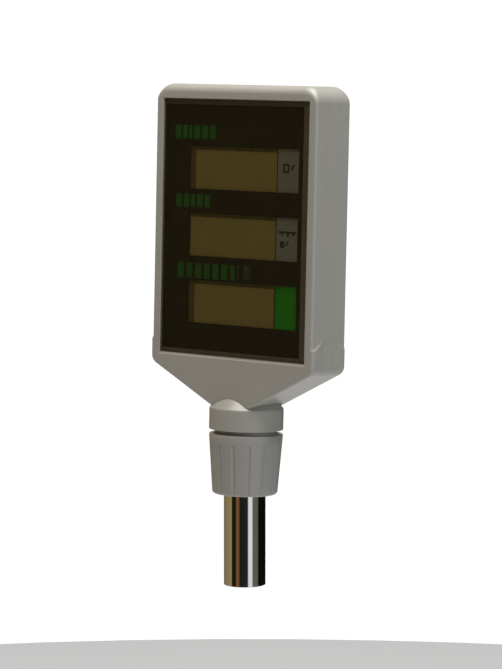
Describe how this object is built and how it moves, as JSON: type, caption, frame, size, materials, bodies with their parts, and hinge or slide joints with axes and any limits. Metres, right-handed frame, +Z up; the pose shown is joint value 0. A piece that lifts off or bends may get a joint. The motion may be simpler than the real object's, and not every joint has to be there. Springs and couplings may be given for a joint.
{
  "type": "pole-mounted customer display",
  "caption": "Upright flat display head with stacked LCD windows behind one smoked panel, on a short neck with a fluted collar nut, swivelling on a chromed pole.",
  "frame": {"origin": "centre of the pole tube's lower end, where it goes on into the rest of the pole", "axes": "+Z up along the pole, -Y the way the display faces, +X to the right of someone reading it"},
  "size_m": [0.1254, 0.0449, 0.2989],
  "materials": {
    "housing": "fine-grained grey moulded plastic",
    "smoked_acrylic": "clear gloss, smoked brown",
    "foam_tape": "pale foam tape",
    "black_print": "matt black card",
    "white_plastic": "satin",
    "lcd_glass": "polarised, grey-green",
    "unit_print": "grey printed card",
    "unit_print_green": "green printed card",
    "light_guide": "milky",
    "elastomer": "pink silicone with black layers",
    "circuit_board": "green solder mask",
    "black_plastic": "moulded",
    "chrome": "mirror",
    "zinc_steel": "zinc plated",
    "spring_steel": "dark spring steel",
    "acetal": "waxy white",
    "rubber": "black"
  },
  "bodies": {
    "pole": {"pole_tube": "chrome", "cable_guard": "rubber", "retaining_ring": "spring_steel"},
    "head": {"front_shell": "housing", "rear_shell": "housing", "neck_frame": "housing", "window_panel": "smoked_acrylic", "window_tape": "foam_tape", "display_mask": "black_print", "display_carrier": "white_plastic", "lcd_glass_1": "lcd_glass", "lcd_glass_2": "lcd_glass", "lcd_glass_3": "lcd_glass", "unit_card_1": "unit_print_green", "unit_card_2": "unit_print", "unit_card_3": "unit_print", "backlight_1": "light_guide", "backlight_2": "light_guide", "backlight_3": "light_guide", "zebra_strip_1": "elastomer", "zebra_strip_2": "elastomer", "zebra_strip_3": "elastomer", "circuit_board": "circuit_board", "display_driver_1": "black_plastic", "display_driver_2": "black_plastic", "display_driver_3": "black_plastic", "signal_socket": "white_plastic", "smoothing_capacitor": "black_plastic", "board_screw_1": "zinc_steel", "board_screw_2": "zinc_steel", "board_screw_3": "zinc_steel", "board_screw_4": "zinc_steel", "case_screw_1": "zinc_steel", "case_screw_2": "zinc_steel", "case_screw_3": "zinc_steel", "case_screw_4": "zinc_steel", "case_screw_5": "zinc_steel", "case_screw_6": "zinc_steel", "screw_cap_1": "housing", "screw_cap_2": "housing", "screw_cap_3": "housing", "screw_cap_4": "housing", "screw_cap_5": "housing", "screw_cap_6": "housing", "swivel_bush": "acetal"},
    "clamp_ring": {"slip_washer": "acetal", "split_collet": "acetal"},
    "collar": {"collar_nut": "housing"}
  },
  "joints": [
    {"name": "head_swivel", "type": "hinge", "parent": "pole", "child": "head", "pos_m": [0, 0, 0], "axis": [0, 0, 1], "range_deg": [-165, 165]},
    {"name": "collar_travel", "type": "slide", "parent": "head", "child": "clamp_ring", "axis": [0, -0.0332, -0.9995], "range_m": [0, 0.004]},
    {"name": "collar_turn", "type": "hinge", "parent": "clamp_ring", "child": "collar", "pos_m": [0, 0, 0.053], "axis": [0, -0.0332, -0.9995], "range_deg": [0, 480]}
  ],
  "couplings": [
    {"joint": "collar_travel", "follows": "collar_turn", "m_per_rad": 0.00047746}
  ]
}
